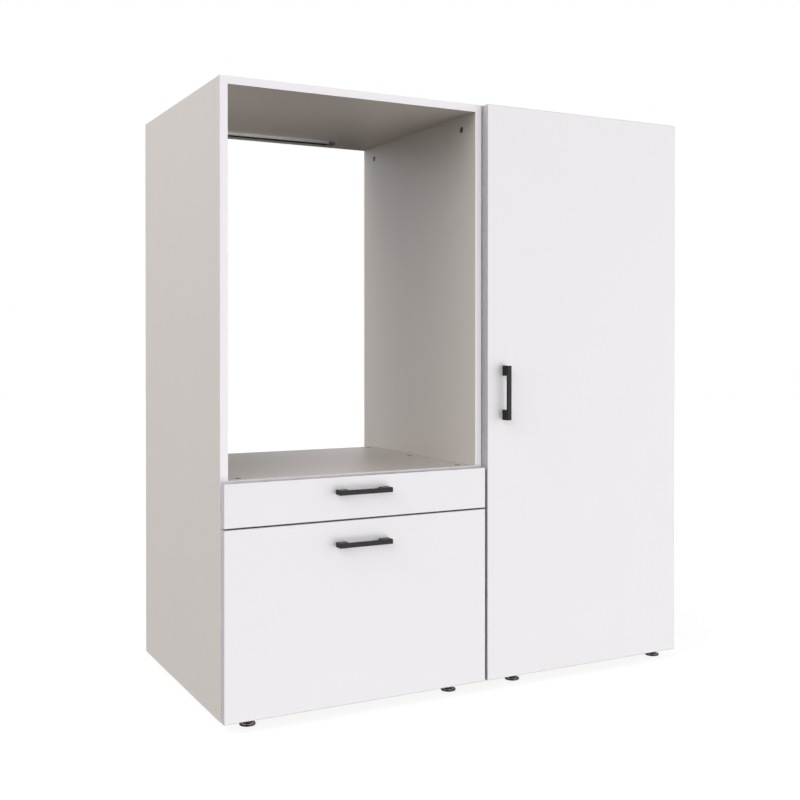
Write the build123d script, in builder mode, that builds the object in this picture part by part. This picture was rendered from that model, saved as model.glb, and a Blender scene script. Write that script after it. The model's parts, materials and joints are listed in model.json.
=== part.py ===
from build123d import *
import os

os.makedirs("parts", exist_ok=True)

# Driving dimensions in millimetres: the two units
board = 18.0
left_unit_width = 675.0
tall_unit_width = 604.0
unit_gap = 3.6
carcass_height = 1424.5
carcass_depth = 630.0
foot_height = 25.5
back_thickness = 3.0
back_inset = 1.0

# Driving dimensions: shelf, drawers and door
machine_shelf_top = 532.0
machine_shelf_depth = 557.0
front_gap = 2.0
front_inset = 1.4
drawer_gap = 3.0
drawer_2_front_height = 426.0
drawer_1_front_top = 528.0
edge_round = 1.0
box_board = 12.0
box_bottom = 3.0
box_groove = 6.0
box_length = 500.0
runner_length = 500.0
runner_thickness = 12.7

# Driving dimensions: handles, feet and rail
handle_length = 135.0
handle_width = 11.0
handle_bar = 6.0
handle_standoff = 24.5
handle_post = 25.0
handle_screw_spacing = 96.0
handle_screw_radius = 2.0
handle_screw_reach = 10.0
foot_radius = 18.25
foot_set_back = 35.0
rail_length = 365.0
rail_depth = 28.0
rail_height = 7.0
rail_set_back = 535.0
rail_wall = 1.5
rail_cap = 20.0

# Furniture fittings
cam_radius = 7.25
cam_pocket_radius = 7.75
cam_depth = 12.5
cam_offset = 33.0
bolt_bore_radius = 4.0
bolt_radius = 3.4
bolt_thread_radius = 2.5
bolt_thread_length = 11.0
screw_radius = 1.9
screw_length = 13.0
screw_head_radius = 3.6
screw_head = 2.0

# The frame: middle of the width, middle of the depth, underside of the feet
overall_width = left_unit_width + unit_gap + tall_unit_width
overall_depth = handle_standoff + board + front_gap + carcass_depth + back_thickness
front_y = handle_standoff + board + front_gap - overall_depth / 2
rear_y = front_y + carcass_depth
base_z = foot_height
top_z = base_z + carcass_height
left_x0 = -overall_width / 2
left_x1 = left_x0 + left_unit_width
tall_x0 = left_x1 + unit_gap
tall_x1 = tall_x0 + tall_unit_width
side_top_z = top_z - board
shelf_top_z = base_z + machine_shelf_top
front_rear_y = front_y - front_gap
front_face_y = front_rear_y - board

left_inner = (left_x0 + board, left_x1 - board)
tall_inner = (tall_x0 + board, tall_x1 - board)

RIGHT = Vector(1, 0, 0)
LEFT = Vector(-1, 0, 0)
REARWARD = Vector(0, 1, 0)
FORWARD = Vector(0, -1, 0)
UP = Vector(0, 0, 1)
DOWN = Vector(0, 0, -1)


def slab(x0, x1, y0, y1, z0, z1, mode=Mode.ADD):
    """A rectangular board or cut between three pairs of faces, drawn on its lower face and extruded."""
    with BuildSketch(Plane(origin=((x0 + x1) / 2, (y0 + y1) / 2, z0))) as outline:
        Rectangle(x1 - x0, y1 - y0)
    extrude(outline.sketch, amount=z1 - z0, mode=mode)


def seat(x, y, z, out, towards):
    """The plane of a cam pocket: z_dir leaves the board's face, x_dir points at the board it pulls in."""
    return Plane(origin=(x, y, z), x_dir=towards, z_dir=out)


def bolt_plane(cam_seat, along=0.0):
    """A drilling plane on the cam bolt's axis, looking back at the cam from a distance along the bolt."""
    axis_point = cam_seat.origin - cam_seat.z_dir * (board / 2) + cam_seat.x_dir * along
    return Plane(origin=axis_point, z_dir=-cam_seat.x_dir)


def drill_cams(seats):
    """Cut the round pocket of each cam and the bore from it to the edge of the board."""
    with Locations(*seats):
        Hole(radius=cam_pocket_radius, depth=cam_depth)
    with Locations(*[bolt_plane(cam_seat) for cam_seat in seats]):
        Hole(radius=bolt_bore_radius, depth=cam_offset)


def drill_bolts(seats):
    """Cut the holes that the cam bolts screw into, in the board beside the cams."""
    with Locations(*[bolt_plane(cam_seat, cam_offset) for cam_seat in seats]):
        Hole(radius=bolt_thread_radius, depth=bolt_thread_length)


def drill_screws(places):
    """Cut the pilot holes of pan-head screws, from planes that face the screws' heads."""
    with Locations(*places):
        Hole(radius=screw_radius, depth=screw_length)


def soften(edges, radius=edge_round):
    """Round the edges that a hand would meet."""
    fillet(edges, radius=radius)


# Where the cams sit. Under each top panel they are in the side panels, elsewhere in the lying boards
side_cam_set_back = 67.0
shelf_cam_places = (30.0, 281.0, 531.0)
board_cam_places = (85.0, 281.0, 531.0)
side_cam_z = side_top_z - cam_offset


def side_seats(inner_x, out):
    """The two cam seats near the top of a side panel's inner face, which pull the top panel down."""
    return [
        seat(inner_x, y, side_cam_z, out, UP)
        for y in (front_y + side_cam_set_back, rear_y - side_cam_set_back)
    ]


def lying_seats(inner, z, towards, out=UP):
    """The cam seats along one end of a lying board between two side panels."""
    edge_x = inner[0] + cam_offset if towards == LEFT else inner[1] - cam_offset
    places = shelf_cam_places if z == shelf_top_z else board_cam_places
    return [seat(edge_x, front_y + y, z, out, towards) for y in places]


bottom_face_z = base_z + board
fixed_shelf_face_z = shelf_top_z - board

left_side_seats = side_seats(left_inner[0], RIGHT)
right_side_seats = side_seats(left_inner[1], LEFT)
tall_left_seats = side_seats(tall_inner[0], RIGHT)
tall_right_seats = side_seats(tall_inner[1], LEFT)

# The stretcher stands under the rear edge of the machine shelf, with its cams in its rear face
stretcher_height = 100.0
stretcher_y1 = front_y + machine_shelf_depth
stretcher_z1 = shelf_top_z - board
stretcher_cam_places = (25.0, 75.0)


def stretcher_seats(towards):
    """The cam seats along one end of the stretcher, in its rear face."""
    edge_x = left_inner[0] + cam_offset if towards == LEFT else left_inner[1] - cam_offset
    return [seat(edge_x, stretcher_y1, stretcher_z1 - z, REARWARD, towards) for z in stretcher_cam_places]


left_end_seats = (
    lying_seats(left_inner, shelf_top_z, LEFT)
    + lying_seats(left_inner, bottom_face_z, LEFT)
    + stretcher_seats(LEFT)
)
right_end_seats = (
    lying_seats(left_inner, shelf_top_z, RIGHT)
    + lying_seats(left_inner, bottom_face_z, RIGHT)
    + stretcher_seats(RIGHT)
)
tall_left_end_seats = (
    lying_seats(tall_inner, base_z, LEFT, DOWN)
    + lying_seats(tall_inner, fixed_shelf_face_z, LEFT, DOWN)
)
tall_right_end_seats = (
    lying_seats(tall_inner, base_z, RIGHT, DOWN)
    + lying_seats(tall_inner, fixed_shelf_face_z, RIGHT, DOWN)
)
all_seats = (
    left_side_seats + right_side_seats + tall_left_seats + tall_right_seats
    + left_end_seats + right_end_seats + tall_left_end_seats + tall_right_end_seats
)

# Drawer runners: their height above the carcass base, and where their screws go
runner_set_back = 3.0
runner_height = 45.0
runner_heights = {1: 473.0, 2: 110.0}
runner_middle_z = {number: base_z + height for number, height in runner_heights.items()}
runner_sheet = 1.2
runner_screw_places = (35.0, 227.0, 451.0)


def runner_screws(face_x, out):
    """The planes of the screws that hold the runners of both drawers to one side panel."""
    return [
        Plane(origin=(face_x, front_y + y, z), z_dir=out)
        for z in runner_middle_z.values()
        for y in runner_screw_places
    ]


# The door's concealed hinges turn on a pin inside each cup, near the door's edge
hinge_margin = 110.0
hinge_heights = (hinge_margin, carcass_height / 2, carcass_height - hinge_margin)
door_x0 = tall_x0 + front_inset
door_x1 = tall_x1 - front_inset
hinge_wall_x = tall_inner[1]
cup_tab = 3.0
cup_radius = 17.5
cup_wall = 1.0
cup_depth = 13.2
cup_x = door_x1 - cup_tab - cup_radius
pin_radius = 1.5
pin_clearance = 0.05
pin_from_edge = 7.3
pin_from_rear = 10.0
pin_x = door_x1 - pin_from_edge
pin_y = front_rear_y - pin_from_rear
barrel_radius = 2.5
plate_thickness = 3.0
plate_set_back = 37.0
plate_screw_spacing = 32.0
hinge_zs = [base_z + height for height in hinge_heights]
plate_screws = [
    Plane(origin=(hinge_wall_x, front_y + plate_set_back, z + side * plate_screw_spacing / 2), z_dir=LEFT)
    for z in hinge_zs
    for side in (-1, 1)
]

# Loose shelves on pins, in short rows of holes
loose_shelf_heights = {"lower": 275.0, "upper": 978.0}
loose_shelf_tops = {level: base_z + height for level, height in loose_shelf_heights.items()}
shelf_pin_radius = 2.5
shelf_pin_hole = 10.0
shelf_pin_spacing = 32.0
shelf_pin_set_backs = (60.0, 520.0)
shelf_play = 1.0


def shelf_pin_planes(face_x, out, rows=(-1, 0, 1)):
    """The planes of the shelf-pin holes in one side panel: three rows for each loose shelf."""
    middle_zs = [top - board - shelf_pin_radius for top in loose_shelf_tops.values()]
    return [
        Plane(origin=(face_x, front_y + y, z + row * shelf_pin_spacing), z_dir=out)
        for z in middle_zs
        for row in rows
        for y in shelf_pin_set_backs
    ]


# The bolts that hold the two units together, below the machine shelf where no front shows them
join_bolt_radius = 4.0
join_bolt_play = 0.1
join_head_radius = 7.0
join_head = 2.5
spacer_radius = 10.0
join_set_back = 40.0
join_ys = (front_y + join_set_back, rear_y - join_set_back)
join_heights = (60.0, 380.0)
upper_spacer_height = 1364.5
join_zs = [base_z + height for height in join_heights]
join_planes = [Plane(origin=(left_inner[1], y, z), z_dir=LEFT) for y in join_ys for z in join_zs]

# Side panels. Each stands under its top panel and is drilled on its inner face
side_panels = {
    "left_unit_side_left": (left_x0, left_inner[0], RIGHT, left_side_seats, left_end_seats),
    "left_unit_side_right": (left_inner[1], left_x1, LEFT, right_side_seats, right_end_seats),
    "tall_unit_side_left": (tall_x0, tall_inner[0], RIGHT, tall_left_seats, tall_left_end_seats),
    "tall_unit_side_right": (tall_inner[1], tall_x1, LEFT, tall_right_seats, tall_right_end_seats),
}
for name, (x0, x1, inward, cam_seats, bolt_seats) in side_panels.items():
    inner_x = x1 if inward == RIGHT else x0
    with BuildPart() as side_panel:
        slab(x0, x1, front_y, rear_y, base_z, side_top_z)
        soften(side_panel.edges().filter_by(Axis.Z).group_by(Axis.Y)[0], edge_round / 2)
        drill_cams(cam_seats)
        drill_bolts(bolt_seats)
        if name.startswith("left_unit"):
            drill_screws(runner_screws(inner_x, inward))
        else:
            with Locations(*shelf_pin_planes(inner_x, inward)):
                Hole(radius=shelf_pin_radius, depth=shelf_pin_hole)
        if name in ("left_unit_side_right", "tall_unit_side_left"):
            with Locations(*join_planes):
                Hole(radius=join_bolt_radius + join_bolt_play, depth=2 * board + unit_gap)
        if name == "tall_unit_side_right":
            drill_screws(plate_screws)
    side_panel.part.label = name
    export_step(side_panel.part, f"parts/{name}.step")

# Top panels lie over the side panels. The left one carries the rail under it
rail_x = (left_x0 + left_x1) / 2
rail_y0 = front_y + rail_set_back
rail_y1 = rail_y0 + rail_depth
rail_z0 = side_top_z - rail_height
rail_screw_spacing = 140.0
rail_screws = [
    Plane(origin=(rail_x + step * rail_screw_spacing, (rail_y0 + rail_y1) / 2, side_top_z), z_dir=DOWN)
    for step in (-1, 0, 1)
]
top_panels = {
    "left_unit_top": (left_x0, left_x1, left_side_seats + right_side_seats),
    "tall_unit_top": (tall_x0, tall_x1, tall_left_seats + tall_right_seats),
}
for name, (x0, x1, bolt_seats) in top_panels.items():
    with BuildPart() as top_panel:
        slab(x0, x1, front_y, rear_y, side_top_z, top_z)
        soften(top_panel.edges().filter_by(Axis.X).group_by(Axis.Y)[0], edge_round / 2)
        drill_bolts(bolt_seats)
        if name == "left_unit_top":
            drill_screws(rail_screws)
    top_panel.part.label = name
    export_step(top_panel.part, f"parts/{name}.step")

# Feet: where each one stands, measured from the left unit's outer side
foot_xs = {"left_unit": (75.0, 600.0), "tall_unit": (789.0, 1251.0)}
foot_ys = {"front": front_y + foot_set_back, "rear": rear_y - foot_set_back}
sleeve_radius = 6.0
sleeve_length = 16.0
sleeve_flange_radius = 11.0
sleeve_flange = 1.5
stud_radius = 4.95
stud_play = 0.05
foot_places = {
    f"{unit}_foot_{row}_{hand}": (left_x0 + x, y)
    for unit, xs in foot_xs.items()
    for row, y in foot_ys.items()
    for hand, x in zip(("left", "right"), xs)
}


def drill_sleeves(unit):
    """Cut the blind holes for the sleeves of a unit's four feet, from below."""
    places = [place for foot, place in foot_places.items() if foot.startswith(unit)]
    with Locations(*[Plane(origin=(x, y, base_z), z_dir=DOWN) for x, y in places]):
        Hole(radius=sleeve_radius, depth=sleeve_length)


# Lying boards between the side panels
lying_boards = {
    "left_unit_bottom": (left_inner, rear_y, base_z),
    "machine_shelf": (left_inner, stretcher_y1, shelf_top_z - board),
    "tall_unit_bottom": (tall_inner, rear_y, base_z),
    "tall_unit_fixed_shelf": (tall_inner, rear_y, fixed_shelf_face_z),
}
for name, (inner, back_y, z) in lying_boards.items():
    in_tall_unit = name.startswith("tall_unit")
    face_z = z if in_tall_unit else z + board
    out = DOWN if in_tall_unit else UP
    with BuildPart() as lying_board:
        slab(inner[0], inner[1], front_y, back_y, z, z + board)
        soften(lying_board.edges().filter_by(Axis.X).group_by(Axis.Y)[0], edge_round / 2)
        drill_cams(lying_seats(inner, face_z, LEFT, out) + lying_seats(inner, face_z, RIGHT, out))
        if name.endswith("bottom"):
            drill_sleeves(name.removesuffix("_bottom"))
    lying_board.part.label = name
    export_step(lying_board.part, f"parts/{name}.step")

with BuildPart() as shelf_stretcher:
    slab(*left_inner, stretcher_y1 - board, stretcher_y1, stretcher_z1 - stretcher_height, stretcher_z1)
    drill_cams(stretcher_seats(LEFT) + stretcher_seats(RIGHT))
shelf_stretcher.part.label = "shelf_stretcher"
export_step(shelf_stretcher.part, "parts/shelf_stretcher.step")

# Thin back panels behind the drawers and behind the whole tall unit
back_panels = {
    "left_unit_back": (left_x0, left_x1, shelf_top_z - board),
    "tall_unit_back": (tall_x0, tall_x1, top_z),
}
for name, (x0, x1, z1) in back_panels.items():
    with BuildPart() as back_panel:
        slab(
            x0 + back_inset, x1 - back_inset, rear_y, rear_y + back_thickness,
            base_z + back_inset, z1 - back_inset,
        )
    back_panel.part.label = name
    export_step(back_panel.part, f"parts/{name}.step")

# Loose shelves, 20 mm short of the carcass depth
loose_shelf_short = 20.0
for level, shelf_top in loose_shelf_tops.items():
    name = f"tall_unit_loose_shelf_{level}"
    with BuildPart() as loose_shelf:
        slab(
            tall_inner[0] + shelf_play, tall_inner[1] - shelf_play,
            front_y + loose_shelf_short, rear_y - shelf_play, shelf_top - board, shelf_top,
        )
        soften(loose_shelf.edges().filter_by(Axis.X).group_by(Axis.Y)[0])
    loose_shelf.part.label = name
    export_step(loose_shelf.part, f"parts/{name}.step")

# Shelf pins: a peg with a thin collar against the side panel
pin_collar_radius = 3.6
pin_collar = 0.8
pin_reach = 8.0
pin_seated = shelf_pin_hole - 1.0
pins = shelf_pin_planes(tall_inner[0], RIGHT, rows=(0,)) + shelf_pin_planes(tall_inner[1], LEFT, rows=(0,))
with BuildPart() as shelf_pins:
    for pin_plane in pins:
        with BuildSketch(pin_plane.offset(-pin_seated)):
            Circle(shelf_pin_radius)
        extrude(amount=pin_seated + pin_reach)
        with BuildSketch(pin_plane):
            Circle(pin_collar_radius)
        extrude(amount=pin_collar)
shelf_pins.part.label = "shelf_pins"
export_step(shelf_pins.part, "parts/shelf_pins.step")

# Cam housings: drums with a channel for the bolt's head and a cross for the screwdriver
cross_length = 9.0
cross_width = 1.6
cross_depth = 2.0
channel_width = 7.4
channel_start = -4.0
with BuildPart() as cam_housings:
    for cam_seat in all_seats:
        with BuildSketch(cam_seat):
            Circle(cam_radius)
        extrude(amount=-cam_depth)
        with BuildSketch(cam_seat):
            Rectangle(cross_length, cross_width)
            Rectangle(cross_width, cross_length)
        extrude(amount=-cross_depth, mode=Mode.SUBTRACT)
        with BuildSketch(bolt_plane(cam_seat, channel_start)):
            Rectangle(channel_width, channel_width)
        extrude(amount=channel_start - cam_pocket_radius, mode=Mode.SUBTRACT)
cam_housings.part.label = "cam_housings"
export_step(cam_housings.part, "parts/cam_housings.step")

# Cam bolts: a head held by the cam, a neck, a smooth shaft and a screw end in the next board
bolt_start = -2.0
bolt_head = 3.0
bolt_neck = 4.0
bolt_neck_radius = 2.0
bolt_shaft = cam_offset - bolt_start - bolt_head - bolt_neck
with BuildPart() as cam_bolts:
    for cam_seat in all_seats:
        lengths = (bolt_head, bolt_neck, bolt_shaft, bolt_thread_length)
        radii = (bolt_radius, bolt_neck_radius, bolt_radius, bolt_thread_radius)
        along = bolt_start
        for length, radius in zip(lengths, radii):
            with BuildSketch(bolt_plane(cam_seat, along)):
                Circle(radius)
            extrude(amount=-length)
            along += length
cam_bolts.part.label = "cam_bolts"
export_step(cam_bolts.part, "parts/cam_bolts.step")


def pan_screw(face, clamped):
    """A pan-head screw through a clamped piece into a pilot hole whose plane faces the head."""
    with BuildSketch(face.offset(-screw_length)) as shank:
        Circle(screw_radius)
    extrude(shank.sketch, amount=screw_length + clamped)
    with BuildSketch(face.offset(clamped)) as head:
        Circle(screw_head_radius)
    extrude(head.sketch, amount=screw_head)
    with BuildSketch(face.offset(clamped + screw_head)) as cross:
        Rectangle(screw_head_radius, screw_head / 4)
        Rectangle(screw_head / 4, screw_head_radius)
    extrude(cross.sketch, amount=-screw_head / 2, mode=Mode.SUBTRACT)


with BuildPart() as panel_screws:
    for face in rail_screws:
        pan_screw(face, rail_wall)
    for face in plate_screws:
        pan_screw(face, plate_thickness)
    for face in runner_screws(left_inner[0], RIGHT) + runner_screws(left_inner[1], LEFT):
        pan_screw(face, runner_sheet)
panel_screws.part.label = "panel_screws"
export_step(panel_screws.part, "parts/panel_screws.step")

# Joining bolts run through both units, with a spacer round each and two more spacers near the top
with BuildPart() as joining_bolts:
    for face in join_planes:
        with BuildSketch(face):
            Circle(join_bolt_radius)
        extrude(amount=-(2 * board + unit_gap))
        with BuildSketch(face):
            Circle(join_head_radius)
        extrude(amount=join_head)
        with BuildSketch(face.offset(-(2 * board + unit_gap))):
            Circle(join_head_radius)
        extrude(amount=-join_head)
joining_bolts.part.label = "joining_bolts"
export_step(joining_bolts.part, "parts/joining_bolts.step")

with BuildPart() as unit_spacers:
    spacer_places = [(y, z) for y in join_ys for z in (*join_zs, base_z + upper_spacer_height)]
    for y, z in spacer_places:
        with BuildSketch(Plane(origin=(left_x1, y, z), z_dir=RIGHT)):
            Circle(spacer_radius)
            Circle(join_bolt_radius + join_bolt_play, mode=Mode.SUBTRACT)
        extrude(amount=unit_gap)
unit_spacers.part.label = "unit_spacers"
export_step(unit_spacers.part, "parts/unit_spacers.step")

# The rail is a channel that opens downwards, closed by a block at each end
with BuildPart() as stiffening_rail:
    with BuildSketch(Plane(origin=(rail_x - rail_length / 2 + rail_cap, 0, 0), x_dir=REARWARD, z_dir=RIGHT)):
        with Locations(((rail_y0 + rail_y1) / 2, side_top_z - rail_height / 2)):
            Rectangle(rail_depth, rail_height)
        with Locations(((rail_y0 + rail_y1) / 2, side_top_z - rail_height / 2 - rail_wall / 2)):
            Rectangle(rail_depth - 2 * rail_wall, rail_height - rail_wall, mode=Mode.SUBTRACT)
    extrude(amount=rail_length - 2 * rail_cap)
    with Locations(*[place.offset(rail_wall) for place in rail_screws]):
        Hole(radius=screw_radius, depth=rail_wall)
stiffening_rail.part.label = "stiffening_rail"
export_step(stiffening_rail.part, "parts/stiffening_rail.step")

with BuildPart() as rail_end_caps:
    for x in (rail_x - rail_length / 2, rail_x + rail_length / 2 - rail_cap):
        slab(x, x + rail_cap, rail_y0, rail_y1, rail_z0, side_top_z)
    soften(rail_end_caps.edges().filter_by(Axis.Z))
rail_end_caps.part.label = "rail_end_caps"
export_step(rail_end_caps.part, "parts/rail_end_caps.step")

# Foot sleeves, pressed into the bottom panels
with BuildPart() as foot_sleeves:
    for x, y in foot_places.values():
        with BuildSketch(Plane(origin=(x, y, base_z - sleeve_flange))):
            Circle(sleeve_flange_radius)
            Circle(stud_radius + stud_play, mode=Mode.SUBTRACT)
        extrude(amount=sleeve_flange)
        with BuildSketch(Plane(origin=(x, y, base_z))):
            Circle(sleeve_radius)
            Circle(stud_radius + stud_play, mode=Mode.SUBTRACT)
        extrude(amount=sleeve_length)
foot_sleeves.part.label = "foot_sleeves"
export_step(foot_sleeves.part, "parts/foot_sleeves.step")

# Levelling feet: a ribbed dish, a hexagonal body and a threaded stud
dish_height = 3.0
dish_floor = 1.2
dish_rim = 1.8
dish_ribs = 6
rib_width = 1.4
hub_radius = 10.0
hub_top_z = base_z - sleeve_flange
stud_engaged = 14.0
stud_top_z = base_z + stud_engaged
thread_pitch = 1.75
thread_depth = 0.6
for name, (x, y) in foot_places.items():
    with BuildPart() as foot:
        with BuildSketch(Plane(origin=(x, y, 0))):
            Circle(foot_radius)
        extrude(amount=dish_height)
        with BuildSketch(Plane(origin=(x, y, dish_floor))):
            Circle(foot_radius - dish_rim)
            with PolarLocations(0, dish_ribs):
                Rectangle(foot_radius, rib_width, align=(Align.MIN, Align.CENTER), mode=Mode.SUBTRACT)
        extrude(amount=dish_height - dish_floor, mode=Mode.SUBTRACT)
        with BuildSketch(Plane(origin=(x, y, dish_floor))):
            RegularPolygon(radius=hub_radius, side_count=6)
        extrude(amount=hub_top_z - dish_floor)
        stud_length = stud_top_z - hub_top_z
        thread_turns = int(stud_length / thread_pitch)
        with BuildSketch(Plane(origin=(x, y, 0), x_dir=RIGHT, z_dir=FORWARD)):
            with BuildLine():
                outline = [(0, hub_top_z), (stud_radius - thread_depth, hub_top_z)]
                for turn in range(thread_turns):
                    turn_z = hub_top_z + turn * thread_pitch
                    outline.append((stud_radius, turn_z + thread_pitch / 3))
                    outline.append((stud_radius, turn_z + thread_pitch / 2))
                    outline.append((stud_radius - thread_depth, turn_z + thread_pitch))
                outline.append((0, hub_top_z + thread_turns * thread_pitch))
                Polyline(*outline, close=True)
            make_face()
        revolve(axis=Axis((x, y, 0), (0, 0, 1)))
    foot.part.label = name
    export_step(foot.part, f"parts/{name}.step")


def runner_member(wall_x, out, z, web_start, half_height, reach):
    """One steel channel of a drawer runner: a web parallel to the side panel and two flanges."""
    sign = 1 if out == RIGHT else -1
    runner_front = Plane(origin=(wall_x, front_y + runner_set_back, z), x_dir=RIGHT, z_dir=FORWARD)
    web_x = sign * (web_start + runner_sheet / 2)
    flange_x = sign * (reach[0] + reach[1]) / 2
    flange_z = half_height - runner_sheet / 2
    with BuildSketch(runner_front) as section:
        with Locations((web_x, 0)):
            Rectangle(runner_sheet, 2 * half_height)
        with Locations((flange_x, flange_z), (flange_x, -flange_z)):
            Rectangle(reach[1] - reach[0], runner_sheet)
    extrude(section.sketch, amount=-runner_length)


# Runner sections, measured from the side panel: web start, half height and the flanges' reach
cabinet_section = (0.0, runner_height / 2, (0.0, 9.0))
middle_section = (4.0, 20.6, (2.4, 10.4))
drawer_section = (runner_thickness - runner_sheet, 18.8, (5.8, runner_thickness))
runner_walls = ((left_inner[0], RIGHT), (left_inner[1], LEFT))

with BuildPart() as runner_cabinet_members:
    for z in runner_middle_z.values():
        for wall_x, out in runner_walls:
            runner_member(wall_x, out, z, *cabinet_section)
    for wall_x, out in runner_walls:
        with Locations(*[place.offset(runner_sheet) for place in runner_screws(wall_x, out)]):
            Hole(radius=screw_radius, depth=runner_sheet)
runner_cabinet_members.part.label = "runner_cabinet_members"
export_step(runner_cabinet_members.part, "parts/runner_cabinet_members.step")


def handle_outline():
    """The handle from its side: a flat bar on two block posts, x along it and y away from the front."""
    half = handle_length / 2
    inner = half - handle_post
    bar_y = handle_standoff - handle_bar
    with BuildLine() as outline:
        Polyline(
            (-half, 0), (-inner, 0), (-inner, bar_y), (inner, bar_y), (inner, 0), (half, 0),
            (half, handle_standoff), (-half, handle_standoff), close=True,
        )
    make_face(outline.edges())


def handle_screw_places(x, z, along):
    """The two planes of a handle's screws on the front's outer face, looking into the cabinet."""
    return [
        Plane(origin=Vector(x, front_face_y, z) + along * (side * handle_screw_spacing / 2), z_dir=REARWARD)
        for side in (-1, 1)
    ]


def make_handle(name, x, z, along):
    """One bar handle, with the blind holes that its screws hold in."""
    across = along.cross(FORWARD)
    with BuildPart() as handle:
        with BuildSketch(Plane(origin=(x, front_face_y, z), x_dir=along, z_dir=across)):
            handle_outline()
        extrude(amount=handle_width / 2, both=True)
        chamfer(handle.edges().group_by(Axis.Y)[0], length=edge_round / 2)
        with Locations(*handle_screw_places(x, z, along)):
            Hole(radius=handle_screw_radius, depth=handle_screw_reach)
    handle.part.label = f"{name}_handle"
    export_step(handle.part, f"parts/{name}_handle.step")


def make_handle_screws(name, x, z, along, inner_y):
    """The two screws that come from inside through the front into the handle's posts."""
    head_radius = 2 * handle_screw_radius
    with BuildPart() as handle_screws:
        for place in handle_screw_places(x, z, along):
            inner_face = place.offset(inner_y - front_face_y)
            with BuildSketch(inner_face):
                Circle(handle_screw_radius)
            extrude(amount=-(inner_y - front_face_y + handle_screw_reach))
            with BuildSketch(inner_face):
                Circle(head_radius)
            extrude(amount=head_radius / 2)
            with BuildSketch(inner_face.offset(head_radius / 2)):
                Rectangle(head_radius, edge_round)
                Rectangle(edge_round, head_radius)
            extrude(amount=-edge_round, mode=Mode.SUBTRACT)
    handle_screws.part.label = f"{name}_handle_screws"
    export_step(handle_screws.part, f"parts/{name}_handle_screws.step")


def drill_handle_screws(x, z, along, inner_y):
    """Cut the screws' holes from the inner face of what they clamp to the front's outer face."""
    depth = inner_y - front_face_y
    with Locations(*[place.offset(depth) for place in handle_screw_places(x, z, along)]):
        Hole(radius=handle_screw_radius, depth=depth)


# Drawers: an overlay front on a box of four walls and a thin floor, hung on runners
front_x0 = left_x0 + front_inset
front_x1 = left_x1 - front_inset
drawer_handle_x = (front_x0 + front_x1) / 2
box_side_x0 = left_inner[0] + runner_thickness
box_side_x1 = left_inner[1] - runner_thickness
box_inner_x0 = box_side_x0 + box_board
box_inner_x1 = box_side_x1 - box_board
box_y0 = front_rear_y
box_y1 = box_y0 + box_length
box_floor_lift = 8.0
drawer_box_heights = {1: (441.0, 506.0), 2: (40.0, 340.0)}
drawer_handle_heights = {1: 493.3, 2: 372.5}
drawer_front_zs = {
    1: (base_z + drawer_2_front_height + drawer_gap, base_z + drawer_1_front_top),
    2: (base_z, base_z + drawer_2_front_height),
}


def cut_floor_groove(box_z0):
    """The groove that the drawer's thin bottom slides into, cut in whatever board it meets."""
    slab(
        box_inner_x0 - box_groove, box_inner_x1 + box_groove,
        box_y0 + box_board - box_groove, box_y1 - box_board + box_groove,
        box_z0 + box_floor_lift, box_z0 + box_floor_lift + box_bottom, mode=Mode.SUBTRACT,
    )


for number, (front_z0, front_z1) in drawer_front_zs.items():
    drawer = f"drawer_{number}"
    box_z0, box_z1 = [base_z + height for height in drawer_box_heights[number]]
    handle_z = base_z + drawer_handle_heights[number]
    screws_start_y = box_y0 + box_board if handle_z < box_z1 else front_rear_y
    with BuildPart() as drawer_front:
        slab(front_x0, front_x1, front_face_y, front_rear_y, front_z0, front_z1)
        soften(drawer_front.edges().group_by(Axis.Y)[0])
        drill_handle_screws(drawer_handle_x, handle_z, RIGHT, screws_start_y)
    drawer_front.part.label = f"{drawer}_front"
    export_step(drawer_front.part, f"parts/{drawer}_front.step")

    box_walls = {
        "side_left": (box_side_x0, box_inner_x0, box_y0, box_y1),
        "side_right": (box_inner_x1, box_side_x1, box_y0, box_y1),
        "inner_front": (box_inner_x0, box_inner_x1, box_y0, box_y0 + box_board),
        "rear_wall": (box_inner_x0, box_inner_x1, box_y1 - box_board, box_y1),
    }
    for wall, (x0, x1, y0, y1) in box_walls.items():
        name = f"{drawer}_{wall}"
        with BuildPart() as box_wall:
            slab(x0, x1, y0, y1, box_z0, box_z1)
            cut_floor_groove(box_z0)
            if wall == "inner_front" and handle_z < box_z1:
                drill_handle_screws(drawer_handle_x, handle_z, RIGHT, screws_start_y)
        box_wall.part.label = name
        export_step(box_wall.part, f"parts/{name}.step")

    with BuildPart() as box_floor:
        slab(
            box_inner_x0 - box_groove, box_inner_x1 + box_groove,
            box_y0 + box_board - box_groove, box_y1 - box_board + box_groove,
            box_z0 + box_floor_lift, box_z0 + box_floor_lift + box_bottom,
        )
    box_floor.part.label = f"{drawer}_floor"
    export_step(box_floor.part, f"parts/{drawer}_floor.step")

    runner_z = runner_middle_z[number]
    with BuildPart() as middle_members:
        for wall_x, out in runner_walls:
            runner_member(wall_x, out, runner_z, *middle_section)
    middle_members.part.label = f"{drawer}_runner_middle_members"
    export_step(middle_members.part, f"parts/{drawer}_runner_middle_members.step")

    with BuildPart() as drawer_members:
        for wall_x, out in runner_walls:
            runner_member(wall_x, out, runner_z, *drawer_section)
    drawer_members.part.label = f"{drawer}_runner_drawer_members"
    export_step(drawer_members.part, f"parts/{drawer}_runner_drawer_members.step")

    make_handle(drawer, drawer_handle_x, handle_z, RIGHT)
    make_handle_screws(drawer, drawer_handle_x, handle_z, RIGHT, screws_start_y)

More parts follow.
